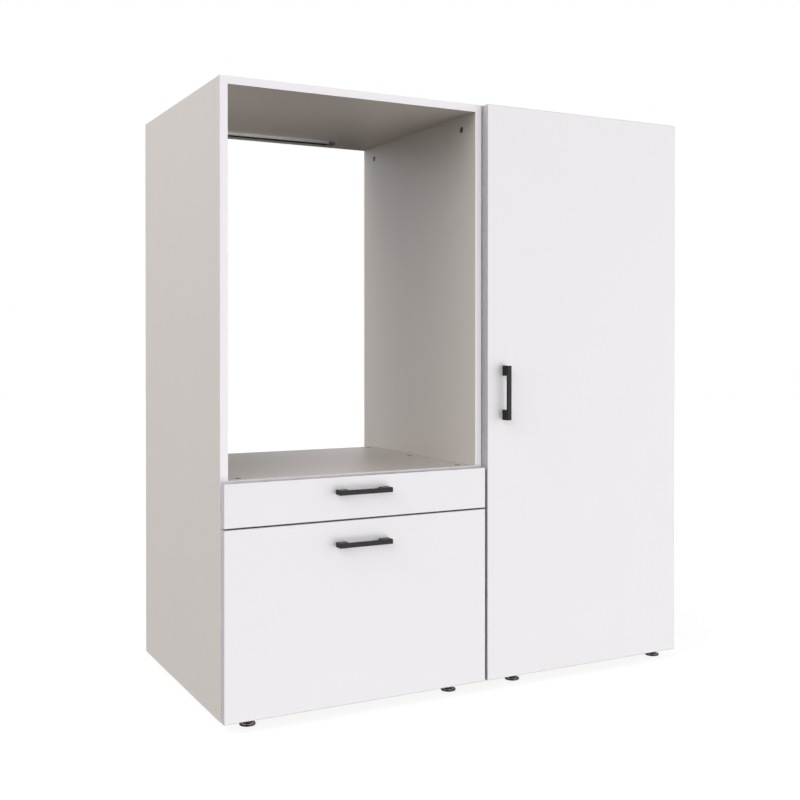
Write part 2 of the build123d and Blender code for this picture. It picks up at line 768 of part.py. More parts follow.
# The door, with a pocket for each hinge cup and two holes for the cup's dowels
door_handle_inset = 49.5
door_handle_height = 711.5
door_handle_x = door_x0 + door_handle_inset
door_handle_z = base_z + door_handle_height
door_hinge_round = 2.0
dowel_radius = 4.0
dowel_length = 9.0
dowel_spacing = 45.0
dowel_shift = 9.5
cup_planes = [Plane(origin=(cup_x, front_rear_y, z), x_dir=RIGHT, z_dir=REARWARD) for z in hinge_zs]


def dowel_places():
    """The two dowels of a hinge cup, seen on the cup's plane."""
    return [(-dowel_shift, side * dowel_spacing / 2) for side in (-1, 1)]


with BuildPart() as door:
    slab(door_x0, door_x1, front_face_y, front_rear_y, base_z, top_z)
    soften(door.edges().group_by(Axis.Y)[0])
    soften(door.edges().filter_by(Axis.Z).group_by(Axis.Y)[-1].sort_by(Axis.X)[-1], door_hinge_round)
    with Locations(*cup_planes):
        Hole(radius=cup_radius, depth=cup_depth)
    for cup_plane in cup_planes:
        with BuildSketch(cup_plane):
            with Locations(*dowel_places()):
                Circle(dowel_radius)
        extrude(amount=-dowel_length, mode=Mode.SUBTRACT)
    drill_handle_screws(door_handle_x, door_handle_z, UP, front_rear_y)
door.part.label = "door"
export_step(door.part, "parts/door.step")

make_handle("door", door_handle_x, door_handle_z, UP)
make_handle_screws("door", door_handle_x, door_handle_z, UP, front_rear_y)

# Hinge cups: a drawn cup with a flange, two dowels, and two ears that hold the pin
cup_floor = 0.5
flange_radius = 20.0
flange_thickness = 1.0
flange_margin = 4.6
flange_edge_x = door_x1 - flange_margin
flange_corner = 3.0
wing_width = 15.0
wing_length = 58.0
ear_inner = 4.4
ear_outer = 7.6
ear_height = 5.6
with BuildPart() as hinge_cups:
    for cup_plane, z in zip(cup_planes, hinge_zs):
        with BuildSketch(cup_plane):
            Circle(flange_radius)
            with Locations((-dowel_shift, 0)):
                RectangleRounded(wing_width, wing_length, radius=flange_corner)
            with Locations((flange_edge_x - cup_x + flange_radius / 2, 0)):
                Rectangle(flange_radius, 2 * flange_radius, mode=Mode.SUBTRACT)
            Circle(cup_radius - cup_wall, mode=Mode.SUBTRACT)
        extrude(amount=flange_thickness)
        with BuildSketch(cup_plane):
            Circle(cup_radius)
            Circle(cup_radius - cup_wall, mode=Mode.SUBTRACT)
        extrude(amount=-cup_depth)
        with BuildSketch(cup_plane.offset(-cup_depth)):
            Circle(cup_radius)
        extrude(amount=cup_floor)
        with BuildSketch(cup_plane):
            with Locations(*dowel_places()):
                Circle(dowel_radius)
        extrude(amount=-dowel_length)
        ear_x0 = pin_x - barrel_radius
        for side in (-1, 1):
            with BuildSketch(cup_plane.offset(-cup_depth)):
                Circle(cup_radius)
                with Locations(((ear_x0 - cup_x) / 2 - cup_radius / 2, 0)):
                    Rectangle(ear_x0 - cup_x + cup_radius, 2 * cup_radius, mode=Mode.SUBTRACT)
                with Locations((0, side * (ear_inner - cup_radius))):
                    Rectangle(2 * cup_radius, 2 * cup_radius, mode=Mode.SUBTRACT)
                with Locations((0, side * (ear_outer + cup_radius))):
                    Rectangle(2 * cup_radius, 2 * cup_radius, mode=Mode.SUBTRACT)
            extrude(amount=ear_height)
        with BuildSketch(Plane(origin=(pin_x, pin_y, z - ear_outer))):
            Circle(pin_radius)
        extrude(amount=2 * ear_outer)
hinge_cups.part.label = "hinge_cups"
export_step(hinge_cups.part, "parts/hinge_cups.step")

# Hinge arms: a barrel on the pin, a strap that goes round the side panel's edge, and a channel on the plate
arm_half_width = 4.0
strap = 2.0
neck_clearance = 6.0
arm_height = 13.0
arm_set_back = 8.0
arm_length = 54.0
neck_x1 = hinge_wall_x - neck_clearance
neck_x0 = neck_x1 - strap
arm_web_x = hinge_wall_x - arm_height
arm_y0 = front_y + arm_set_back
arm_y1 = arm_y0 + arm_length
arm_channel_half = 8.0
plate_gap = 0.2
with BuildPart() as hinge_arms:
    strap_y0 = pin_y - barrel_radius
    strap_y1 = strap_y0 + strap
    for z in hinge_zs:
        with BuildSketch(Plane(origin=(0, 0, z))):
            with BuildLine():
                Polyline(
                    (pin_x, strap_y0), (neck_x0, strap_y0), (neck_x0, arm_y0), (arm_web_x, arm_y0),
                    (arm_web_x, arm_y0 + strap), (neck_x1, arm_y0 + strap), (neck_x1, strap_y1),
                    (pin_x, strap_y1), close=True,
                )
            make_face()
            with Locations((pin_x, pin_y)):
                Circle(barrel_radius)
                Circle(pin_radius + pin_clearance, mode=Mode.SUBTRACT)
        extrude(amount=arm_half_width, both=True)
        slab(
            arm_web_x, hinge_wall_x - plate_thickness - plate_gap, arm_y0, arm_y1,
            z - arm_channel_half, z + arm_channel_half,
        )
        slab(
            arm_web_x + strap, hinge_wall_x, arm_y0 + strap, arm_y1 + strap,
            z - arm_channel_half + strap, z + arm_channel_half - strap, mode=Mode.SUBTRACT,
        )
hinge_arms.part.label = "hinge_arms"
export_step(hinge_arms.part, "parts/hinge_arms.step")

# Hinge plates: a wing plate screwed to the side panel and a spine inside the arm
spine_half = arm_channel_half - strap - plate_gap
spine_x = arm_web_x + strap
spine_set_back = 20.0
spine_y0 = front_y + spine_set_back
plate_half_depth = 10.0
plate_half_height = 25.0
with BuildPart() as hinge_plates:
    for z in hinge_zs:
        plate_y = front_y + plate_set_back
        slab(
            hinge_wall_x - plate_thickness, hinge_wall_x,
            plate_y - plate_half_depth, plate_y + plate_half_depth,
            z - plate_half_height, z + plate_half_height,
        )
        slab(spine_x, hinge_wall_x, spine_y0, arm_y1, z - spine_half, z + spine_half)
    with Locations(*[place.offset(plate_thickness) for place in plate_screws]):
        Hole(radius=screw_radius, depth=plate_thickness)
hinge_plates.part.label = "hinge_plates"
export_step(hinge_plates.part, "parts/hinge_plates.step")

# Soft bumpers on the free edge of the door, just clear of the side panel
bumper_radius = 5.0
bumper_thickness = front_gap - 0.1
bumper_margin = 60.0
with BuildPart() as door_bumpers:
    for z in (base_z + bumper_margin, top_z - bumper_margin):
        with BuildSketch(Plane(origin=(tall_x0 + board / 2, front_rear_y, z), z_dir=REARWARD)):
            Circle(bumper_radius)
        extrude(amount=bumper_thickness)
door_bumpers.part.label = "door_bumpers"
export_step(door_bumpers.part, "parts/door_bumpers.step")
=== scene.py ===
import json
import math

import bmesh
import bpy
from mathutils import Matrix, Vector


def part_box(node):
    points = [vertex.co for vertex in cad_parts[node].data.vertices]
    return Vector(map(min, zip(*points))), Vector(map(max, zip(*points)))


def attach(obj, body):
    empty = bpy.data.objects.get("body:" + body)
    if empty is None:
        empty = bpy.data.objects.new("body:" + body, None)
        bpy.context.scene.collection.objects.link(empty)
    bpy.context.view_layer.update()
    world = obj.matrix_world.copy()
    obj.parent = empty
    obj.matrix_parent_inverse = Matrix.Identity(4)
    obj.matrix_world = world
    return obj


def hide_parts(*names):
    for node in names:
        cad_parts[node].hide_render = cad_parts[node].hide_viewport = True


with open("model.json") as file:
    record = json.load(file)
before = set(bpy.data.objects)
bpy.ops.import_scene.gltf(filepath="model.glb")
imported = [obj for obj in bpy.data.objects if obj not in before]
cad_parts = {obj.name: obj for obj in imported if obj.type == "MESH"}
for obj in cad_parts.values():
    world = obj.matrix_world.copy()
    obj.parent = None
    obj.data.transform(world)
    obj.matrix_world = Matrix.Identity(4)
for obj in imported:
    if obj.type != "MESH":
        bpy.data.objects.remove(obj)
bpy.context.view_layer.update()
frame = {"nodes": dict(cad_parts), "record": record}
nodes = frame["nodes"]
MM = 0.001
X, Y, Z = 0, 1, 2
LOW, HIGH = 0, 1

# Kinds of node that most finishes use
COORDINATES, NOISE, CELLS = "ShaderNodeTexCoord", "ShaderNodeTexNoise", "ShaderNodeTexVoronoi"
MATH, VECTORS, RANGE = "ShaderNodeMath", "ShaderNodeVectorMath", "ShaderNodeMapRange"

# A Mix node's colour sockets go by number, because others have the same names
FACTOR, COLOUR_A, COLOUR_B, MIXED = 0, 6, 7, 2


def linear(hex_colour):
    """An sRGB hex colour as linear RGBA."""
    parts = [int(hex_colour[i:i + 2], 16) / 255 for i in (1, 3, 5)]
    return (*[c / 12.92 if c <= 0.04045 else ((c + 0.055) / 1.055) ** 2.4 for c in parts], 1.0)


def add_node(tree, kind, inputs=None, **settings):
    """Adds a node, sets it up, and gives its inputs values, hex colours or links from other nodes' outputs."""
    node = tree.nodes.new(kind)
    for key, value in settings.items():
        setattr(node, key, value)
    for key, value in (inputs or {}).items():
        if isinstance(value, bpy.types.NodeSocket):
            tree.links.new(value, node.inputs[key])
        elif isinstance(value, str) and value.startswith("#"):
            node.inputs[key].default_value = linear(value)
        else:
            node.inputs[key].default_value = value
    return node


def new_finish(name, colour, roughness, **sockets):
    """A material with a Principled shader, its constants set on the shader's own sockets."""
    finish = bpy.data.materials.new(name)
    finish.use_nodes = True
    tree = finish.node_tree
    shader = tree.nodes["Principled BSDF"]
    shader.inputs["Base Color"].default_value = linear(colour)
    shader.inputs["Roughness"].default_value = roughness
    for key, value in sockets.items():
        shader.inputs[key.replace("_", " ")].default_value = value
    return finish, tree, shader


def coats_of_colour(tree, colour, *coats):
    """Lays colours over a first one, each where its pattern or mask says."""
    for where, coat in coats:
        inputs = {FACTOR: where, COLOUR_A: colour, COLOUR_B: coat}
        colour = add_node(tree, "ShaderNodeMix", inputs, data_type="RGBA").outputs[MIXED]
    return colour


def dress(tree, shader, colour, roughness, relief, strength, depth):
    """Puts a pattern on a shader: its colour, its roughness and its relief, with the relief's depth in mm."""
    bump = add_node(tree, "ShaderNodeBump", {"Height": relief, "Strength": strength, "Distance": depth * MM})
    tree.links.new(colour, shader.inputs["Base Color"])
    tree.links.new(roughness, shader.inputs["Roughness"])
    tree.links.new(bump.outputs["Normal"], shader.inputs["Normal"])


def nearest_face(tree, place, faces):
    """How far a point of a board lies from the nearest of some of its flat faces."""
    parts = add_node(tree, "ShaderNodeSeparateXYZ", {0: place})
    nearest = None
    for axis, at in faces:
        gap = add_node(tree, MATH, {0: parts.outputs[axis], 1: at}, operation="SUBTRACT")
        gap = add_node(tree, MATH, {0: gap.outputs[0]}, operation="ABSOLUTE").outputs[0]
        if nearest is not None:
            gap = add_node(tree, MATH, {0: nearest, 1: gap}, operation="MINIMUM").outputs[0]
        nearest = gap
    return nearest


def make_chip_core():
    """Chipboard core: pressed wood chips of 1 to 3 mm, seen in drilled holes and on bare edges as a speckle of
    light and dark browns."""
    core = bpy.data.node_groups.new("chipboard_core", "ShaderNodeTree")
    core.interface.new_socket("Place", in_out="INPUT", socket_type="NodeSocketVector")
    core.interface.new_socket("Color", in_out="OUTPUT", socket_type="NodeSocketColor")
    core.interface.new_socket("Height", in_out="OUTPUT", socket_type="NodeSocketFloat")
    place = core.nodes.new("NodeGroupInput").outputs["Place"]
    chips = add_node(core, CELLS, {"Vector": place, "Scale": 1 / (2.4 * MM), "Randomness": 1.0})
    fines = add_node(core, NOISE, {"Vector": place, "Scale": 1 / (0.9 * MM), "Detail": 2.0})
    tone = add_node(core, "ShaderNodeSeparateColor", {0: chips.outputs["Color"]}).outputs[0]
    tones = add_node(core, "ShaderNodeValToRGB", {"Fac": tone})
    ramp = tones.color_ramp
    ramp.elements[0].color = linear("#8A6742")
    ramp.elements[1].color = linear("#D9BC92")
    for at, brown in ((0.45, "#BD9867"), (0.75, "#C9A878")):
        ramp.elements.new(at).color = linear(brown)
    colour = coats_of_colour(core, tones.outputs["Color"], (fines.outputs["Fac"], "#A8845A"))
    out = core.nodes.new("NodeGroupOutput")
    core.links.new(colour, out.inputs["Color"])
    core.links.new(chips.outputs["Distance"], out.inputs["Height"])
    return core


CHIP_CORE = make_chip_core()
CHIP_ROUGHNESS = 0.9

# The warm light grey of the carcass, the cooler white of the fronts, and the foil-wrapped boards of the drawers
CARCASS_WHITE = {"decor": "#CCC6C0", "shade": "#C9C3BD", "band": "#F4F1F5", "roughness": 0.45}
# The fronts' bands are a greyer white than their faces; the grey is partly painted shade, darkening the edges
# that sit in the narrow gaps between the fronts
FRONT_WHITE = {"decor": "#F0EEF2", "shade": "#EEECF0", "band": "#BCB9BB", "roughness": 0.4}
DRAWER_GREY = {"decor": "#DCDCDD", "shade": "#D8D8D9", "band": "#DCDCDD", "roughness": 0.38}

# How deep the layers of a board go, and how far either side of that a mask fades
BAND_DEPTH, SKIN_DEPTH, LACQUER_DEPTH, MASK_FADE = 1.0 * MM, 0.6 * MM, 0.4 * MM, 0.1 * MM

# The seam beside a band is 0.1 mm wide and is drawn 0.6 mm wide so that it shows
SEAM_AT, SEAM_REACH, SEAM_SHOWS, SEAM_GREY = 1.2 * MM, 0.3 * MM, 0.15, "#A9A49E"

# How far below and above its own value the roughness of a surface swings
BOARD_SWING, METAL_SWING, PLASTIC_SWING = (0.06, 0.06), (0.08, 0.08), (0.08, 0.1)


def faced_board(kind, node, across, banded, look, papered=()):
    """Melamine-faced chipboard. Decor paper is pressed on both faces with a fine pearl emboss, which breaks up
    the sheen. A thin plastic band closes the visible edges, with a fine seam beside it. Holes and bare edges
    show the chips."""
    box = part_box(node)
    finish, tree, shader = new_finish(f"{kind}_{node}", look["decor"], look["roughness"], IOR=1.5)
    place = add_node(tree, COORDINATES).outputs["Object"]
    faces = ((across, LOW), (across, HIGH), *papered)
    from_face = nearest_face(tree, place, [(axis, box[end][axis]) for axis, end in faces])
    from_band = nearest_face(tree, place, [(axis, box[end][axis]) for axis, end in banded])

    # Decor: very faint clouds in the white, 120 mm across
    clouds = add_node(tree, NOISE, {"Vector": place, "Scale": 1 / (120 * MM), "Detail": 2.0})

    # Masks of the band, of the seam, and of the core, which shows where a point is deeper than the skin
    on_band = add_node(tree, RANGE, {
        "Value": from_band, "From Min": BAND_DEPTH - MASK_FADE, "From Max": BAND_DEPTH + MASK_FADE,
        "To Min": 1.0, "To Max": 0.0})
    off_seam = add_node(tree, MATH, {0: from_band, 1: SEAM_AT}, operation="SUBTRACT")
    off_seam = add_node(tree, MATH, {0: off_seam.outputs[0]}, operation="ABSOLUTE")
    on_seam = add_node(tree, RANGE, {
        "Value": off_seam.outputs[0], "From Min": 0.0, "From Max": SEAM_REACH,
        "To Min": SEAM_SHOWS, "To Max": 0.0})
    depth = add_node(tree, MATH, {0: from_face, 1: from_band}, operation="MINIMUM").outputs[0]
    bare = add_node(tree, RANGE, {
        "Value": depth, "From Min": SKIN_DEPTH - MASK_FADE, "From Max": SKIN_DEPTH + MASK_FADE}).outputs[0]

    core = add_node(tree, "ShaderNodeGroup", {"Place": place}, node_tree=CHIP_CORE)
    colour = coats_of_colour(
        tree, look["decor"], (clouds.outputs["Fac"], look["shade"]), (on_band.outputs[0], look["band"]),
        (on_seam.outputs[0], SEAM_GREY), (bare, core.outputs["Color"]))

    # The pearl emboss has cells of about 1 mm and is drawn at 2.5 mm
    pearl = add_node(tree, NOISE, {"Vector": place, "Scale": 1 / (2.5 * MM), "Detail": 2.0}).outputs["Fac"]
    sheen = add_node(tree, RANGE, {
        "Value": pearl, "To Min": look["roughness"] - BOARD_SWING[LOW],
        "To Max": look["roughness"] + BOARD_SWING[HIGH]})
    rough = add_node(tree, RANGE, {"Value": bare, "To Min": sheen.outputs[0], "To Max": CHIP_ROUGHNESS})
    relief = add_node(tree, RANGE, {"Value": bare, "To Min": pearl, "To Max": core.outputs["Height"]})
    dress(tree, shader, colour, rough.outputs[0], relief.outputs[0], 0.12, 0.1)
    return finish


def hardboard(node, across, faced_end):
    """Thin fibreboard: brown and slightly fuzzy behind, lacquered white on the side that faces the cabinet. The
    brown has matted fibres of 3 mm, dark flecks 7 mm apart and faint clouds 110 mm across."""
    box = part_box(node)
    finish, tree, shader = new_finish(f"hardboard_{node}", "#E9E7E5", 0.5, IOR=1.5)
    place = add_node(tree, COORDINATES).outputs["Object"]
    from_lacquer = nearest_face(tree, place, [(across, box[faced_end][across])])
    behind = add_node(tree, RANGE, {
        "Value": from_lacquer, "From Min": LACQUER_DEPTH - MASK_FADE,
        "From Max": LACQUER_DEPTH + MASK_FADE}).outputs[0]
    fibres = add_node(tree, NOISE, {
        "Vector": place, "Scale": 1 / (3 * MM), "Detail": 5.0, "Roughness": 0.7,
        "Distortion": 0.8}).outputs["Fac"]
    specks = add_node(tree, CELLS, {"Vector": place, "Scale": 1 / (7 * MM)})
    flecks = add_node(tree, RANGE, {
        "Value": specks.outputs["Distance"], "From Min": 0.10, "From Max": 0.22, "To Min": 0.55, "To Max": 0.0})
    clouds = add_node(tree, NOISE, {"Vector": place, "Scale": 1 / (110 * MM), "Detail": 4.0}).outputs["Fac"]
    brown = coats_of_colour(
        tree, "#A88459", (fibres, "#D9B88C"), (clouds, "#BC9A6F"), (flecks.outputs[0], "#7E6142"))
    white = coats_of_colour(tree, "#EDEBE9", (clouds, "#E5E3E0"))
    colour = coats_of_colour(tree, white, (behind, brown))
    rough = add_node(tree, RANGE, {"Value": behind, "To Min": 0.42, "To Max": 0.82})
    dress(tree, shader, colour, rough.outputs[0], fibres, 0.25, 0.15)
    return finish


def powder_coat():
    """Black powder coat on cast zinc: a fine grit that spreads the reflection of the studio into a soft grey.
    The grit is 0.3 mm and is drawn at 0.8."""
    finish, tree, shader = new_finish("powder_coat_black", "#0E0D0E", 0.42, IOR=1.37)
    place = add_node(tree, COORDINATES).outputs["Object"]
    grit = add_node(tree, NOISE, {"Vector": place, "Scale": 1 / (0.8 * MM), "Detail": 2.0}).outputs["Fac"]
    colour = coats_of_colour(tree, "#0B0A0B", (grit, "#141314"))
    rough = add_node(tree, RANGE, {"Value": grit, "To Min": 0.34, "To Max": 0.48})
    dress(tree, shader, colour, rough.outputs[0], grit, 0.35, 0.05)
    return finish


def metal(name, colour, shade, roughness, grain, depth):
    """A metal with its worked surface: grain is the size of its marks along x, y and z in mm."""
    finish, tree, shader = new_finish(name, colour, roughness, Metallic=1.0)
    place = add_node(tree, COORDINATES).outputs["Object"]
    scale = [1 / (size * MM) for size in grain]
    stretched = add_node(tree, "ShaderNodeMapping", {"Vector": place, "Scale": scale})
    marks = add_node(tree, NOISE, {
        "Vector": stretched.outputs[0], "Scale": 1.0, "Detail": 3.0}).outputs["Fac"]
    rough = add_node(tree, RANGE, {
        "Value": marks, "To Min": roughness - METAL_SWING[LOW], "To Max": roughness + METAL_SWING[HIGH]})
    dress(tree, shader, coats_of_colour(tree, colour, (marks, shade)), rough.outputs[0], marks, 0.3, depth)
    return finish


def moulded_plastic(name, colour, shade, roughness, **sockets):
    """Moulded plastic with the fine spark-eroded grain of its mould, about 0.5 mm and drawn at 1 mm, and soft
    flow clouds of 12 mm in its colour."""
    finish, tree, shader = new_finish(name, colour, roughness, **sockets)
    place = add_node(tree, COORDINATES).outputs["Object"]
    grain = add_node(tree, NOISE, {"Vector": place, "Scale": 1 / (1.0 * MM), "Detail": 3.0}).outputs["Fac"]
    flow = add_node(tree, NOISE, {"Vector": place, "Scale": 1 / (12 * MM), "Detail": 1.0}).outputs["Fac"]
    rough = add_node(tree, RANGE, {
        "Value": grain, "To Min": roughness - PLASTIC_SWING[LOW], "To Max": roughness + PLASTIC_SWING[HIGH]})
    dress(tree, shader, coats_of_colour(tree, colour, (flow, shade)), rough.outputs[0], grain, 0.2, 0.05)
    return finish


CHANNEL_WALL = 1.3 * MM


def rail_aluminium():
    """Anodised aluminium, drawn along its length. Inside the channel it is painted dark and matt: painted shade
    for the channel's own shade, with a faint mottle drawn at 0.7 mm."""
    low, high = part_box("stiffening_rail")
    finish = metal("anodised_aluminium", "#C4C5C6", "#B4B5B6", 0.38, (80, 1.2, 1.2), 0.02)
    tree = finish.node_tree
    shader = tree.nodes["Principled BSDF"]
    place = add_node(tree, COORDINATES).outputs["Object"]
    outside = nearest_face(tree, place, ((Y, low[Y]), (Y, high[Y])))
    inside = add_node(tree, RANGE, {
        "Value": outside, "From Min": CHANNEL_WALL, "From Max": CHANNEL_WALL + MASK_FADE}).outputs[0]
    # Painted shade: inside the channel the colour turns dark, matt and not metallic
    shade_mottle = add_node(tree, NOISE, {"Vector": place, "Scale": 1 / (0.7 * MM), "Detail": 2.0}).outputs["Fac"]
    painted_channel_shade = coats_of_colour(tree, "#3A3734", (shade_mottle, "#45413D"))
    bare = shader.inputs["Base Color"].links[0].from_socket
    tree.links.new(coats_of_colour(tree, bare, (inside, painted_channel_shade)), shader.inputs["Base Color"])
    shine = shader.inputs["Roughness"].links[0].from_socket
    rough = add_node(tree, RANGE, {"Value": inside, "To Min": shine, "To Max": 1.0})
    tree.links.new(rough.outputs[0], shader.inputs["Roughness"])
    metallic = add_node(tree, RANGE, {"Value": inside, "To Min": 1.0, "To Max": 0.0})
    tree.links.new(metallic.outputs[0], shader.inputs["Metallic"])
    return finish


# The pale part of a foot's dish, painted light: out to this radius, up to this height, and this strong
DISH_RADIUS, DISH_HEIGHT, DISH_LIGHT_SHOWS = 16.5 * MM, 2.8 * MM, 0.92


def foot_nylon(node):
    """Glass-filled nylon, moulded near black. The inside of the ribbed dish is painted pale as painted light,
    standing in for the light on it, so that it shows as a light ring between a black rim and a black middle."""
    low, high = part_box(node)
    finish = moulded_plastic(f"glass_filled_nylon_{node}", "#1A1919", "#232222", 0.4, IOR=1.53)
    tree = finish.node_tree
    shader = tree.nodes["Principled BSDF"]
    place = add_node(tree, COORDINATES).outputs["Object"]
    middle = ((low.x + high.x) / 2, (low.y + high.y) / 2, 0.0)
    around = add_node(tree, VECTORS, {0: place, 1: middle}, operation="SUBTRACT")
    flat = add_node(tree, VECTORS, {0: around.outputs[0], 1: (1, 1, 0)}, operation="MULTIPLY")
    radius = add_node(tree, VECTORS, {0: flat.outputs[0]}, operation="LENGTH").outputs["Value"]
    height = add_node(tree, "ShaderNodeSeparateXYZ", {0: place}).outputs[Z]
    in_rim = add_node(tree, RANGE, {
        "Value": radius, "From Min": DISH_RADIUS, "From Max": DISH_RADIUS + MASK_FADE,
        "To Min": DISH_LIGHT_SHOWS, "To Max": 0.0}).outputs[0]
    dish_painted_light = add_node(tree, RANGE, {
        "Value": height, "From Min": DISH_HEIGHT, "From Max": DISH_HEIGHT + MASK_FADE,
        "To Min": in_rim, "To Max": 0.0}).outputs[0]
    black = shader.inputs["Base Color"].links[0].from_socket
    # Painted light: the inside of the dish is coloured pale in place of the light that would fall on it
    tree.links.new(coats_of_colour(tree, black, (dish_painted_light, "#F4EEE4")), shader.inputs["Base Color"])
    return finish


# Zinc-plated steel, rolled along its length: cool grey with soft streaks
ROLLED_STEEL = metal("zinc_plated_sheet", "#B9BCC0", "#A6A9AC", 0.34, (1.5, 60, 1.5), 0.02)
# Zinc-plated steel, turned and pressed: a mottled grey, a little darker
TURNED_STEEL = metal("zinc_plated_screws", "#B4B6B8", "#9C9EA0", 0.36, (1.2, 1.2, 1.2), 0.03)
# Nickel-plated steel, stamped: smooth, warm and bright
NICKEL = metal("nickel_plated_hinge", "#C9C5BE", "#B9B5AD", 0.26, (6, 6, 6), 0.02)
# Die-cast zinc, left as it leaves the die: a dull dark grey with a coarse skin
CAST_ZINC = metal("die_cast_zinc", "#8A8784", "#6F6C69", 0.55, (1.5, 1.5, 1.5), 0.06)
ALUMINIUM = rail_aluminium()
# Near black and matt: painted shade, a dark ring standing in for the shade in the gap round each cam
CAM_RING_SHADE = moulded_plastic("cam_ring_painted_shade", "#262423", "#302E2C", 0.6, IOR=1.53)
# Moulded polypropylene: mid grey with a half-matt sheen
CAP_PLASTIC = moulded_plastic("polypropylene_cap", "#6E6D6D", "#656464", 0.45, IOR=1.49)
# Moulded polyethylene: light grey and waxy
GREY_PLASTIC = moulded_plastic("polyethylene_spacer", "#9B9C9D", "#8F9091", 0.5, IOR=1.51)
# Cast soft polyurethane: clear and glossy
CLEAR_BUMPER = moulded_plastic("soft_clear_polyurethane", "#F0F0EE", "#E8E8E4", 0.22, IOR=1.5,
                               Transmission_Weight=0.85)
BLACK_HANDLE = powder_coat()

# Each carcass board: the axis across its faces, and its edges with a band
CARCASS_BOARDS = {
    "left_unit_side_left": (X, ((Y, LOW), (Y, HIGH))),
    "left_unit_side_right": (X, ((Y, LOW), (Y, HIGH))),
    "tall_unit_side_left": (X, ((Y, LOW), (Y, HIGH))),
    "tall_unit_side_right": (X, ((Y, LOW), (Y, HIGH))),
    "left_unit_bottom": (Z, ((Y, LOW),)),
    "tall_unit_bottom": (Z, ((Y, LOW),)),
    "tall_unit_fixed_shelf": (Z, ((Y, LOW),)),
    "machine_shelf": (Z, ((Y, LOW), (Y, HIGH))),
    "shelf_stretcher": (Y, ((Z, LOW),)),
    "tall_unit_loose_shelf_lower": (Z, ((Y, LOW), (X, LOW), (X, HIGH))),
    "tall_unit_loose_shelf_upper": (Z, ((Y, LOW), (X, LOW), (X, HIGH))),
}
TOP_BANDS = ((Y, LOW), (Y, HIGH))
TOP_ENDS = ((X, LOW), (X, HIGH))
FRONT_BANDS = ((X, LOW), (X, HIGH), (Z, LOW), (Z, HIGH))

finishes = {}
for node, (across, banded) in CARCASS_BOARDS.items():
    finishes[node] = faced_board("melamine_carcass", node, across, banded, CARCASS_WHITE)
for node in ("left_unit_top", "tall_unit_top"):
    finishes[node] = faced_board("melamine_top", node, Z, TOP_BANDS, CARCASS_WHITE, TOP_ENDS)
for node in ("drawer_1_front", "drawer_2_front", "door"):
    finishes[node] = faced_board("melamine_front", node, Y, FRONT_BANDS, FRONT_WHITE)
for drawer in ("drawer_1", "drawer_2"):
    for wall, across in (("side_left", X), ("side_right", X), ("inner_front", Y), ("rear_wall", Y)):
        node = f"{drawer}_{wall}"
        finishes[node] = faced_board("foil_wrapped_board", node, across, ((Z, HIGH),), DRAWER_GREY)
    finishes[f"{drawer}_floor"] = hardboard(f"{drawer}_floor", Z, HIGH)
for node in ("left_unit_back", "tall_unit_back"):
    finishes[node] = hardboard(node, Y, LOW)

SLOT_FINISH = {
    "handle_black": BLACK_HANDLE,
    "zinc_alloy": CAST_ZINC,
    "zinc_steel": TURNED_STEEL,
    "rail_aluminium": ALUMINIUM,
    "cap_plastic": CAP_PLASTIC,
    "grey_plastic": GREY_PLASTIC,
    "bumper_rubber": CLEAR_BUMPER,
}
for part in frame["record"]["subparts"]:
    node = part["node"]
    if part["material_slot"] == "foot_plastic":
        finishes[node] = foot_nylon(node)
    elif "runner" in node:
        finishes[node] = ROLLED_STEEL
    elif node.startswith("hinge"):
        finishes[node] = NICKEL
    elif node not in finishes:
        finishes[node] = SLOT_FINISH[part["material_slot"]]
    piece = nodes[node]
    piece.data.materials.clear()
    piece.data.materials.append(finishes[node])


def new_piece(name, mesh, body):
    """Adds a mesh as a piece of the cabinet that moves with one body."""
    piece = bpy.data.objects.new(name, mesh)
    bpy.context.scene.collection.objects.link(piece)
    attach(piece, body)
    return piece


def new_nodes_tree(name, inputs):
    """A Geometry Nodes tree with a geometry in, a geometry out and named inputs between."""
    tree = bpy.data.node_groups.new(name, "GeometryNodeTree")
    tree.interface.new_socket("Geometry", in_out="INPUT", socket_type="NodeSocketGeometry")
    for label, kind in inputs:
        tree.interface.new_socket(label, in_out="INPUT", socket_type=kind)
    tree.interface.new_socket("Geometry", in_out="OUTPUT", socket_type="NodeSocketGeometry")
    return tree, tree.nodes.new("NodeGroupInput").outputs


def close_nodes_tree(tree, instances, finish):
    """Ends a tree: the instances become real geometry with their material."""
    real = add_node(tree, "GeometryNodeRealizeInstances", {"Geometry": instances})
    done = add_node(tree, "GeometryNodeSetMaterial", {"Geometry": real.outputs[0], "Material": finish})
    tree.links.new(done.outputs[0], tree.nodes.new("NodeGroupOutput").inputs["Geometry"])
    return tree


def make_setting_tree():
    """Sets one small turned form at many places, each with its own turn."""
    tree, given = new_nodes_tree("set_form_at_places", (
        ("Form", "NodeSocketObject"), ("Size", "NodeSocketFloat"), ("Finish", "NodeSocketMaterial")))
    form = add_node(tree, "GeometryNodeObjectInfo", {"Object": given["Form"]})
    turn = add_node(tree, "GeometryNodeInputNamedAttribute", {"Name": "turn"}, data_type="FLOAT_VECTOR")
    turn = add_node(tree, "FunctionNodeEulerToRotation", {"Euler": turn.outputs["Attribute"]})
    placed = add_node(tree, "GeometryNodeInstanceOnPoints", {
        "Points": given["Geometry"], "Instance": form.outputs["Geometry"], "Rotation": turn.outputs[0],
        "Scale": given["Size"]})
    return close_nodes_tree(tree, placed.outputs[0], given["Finish"])


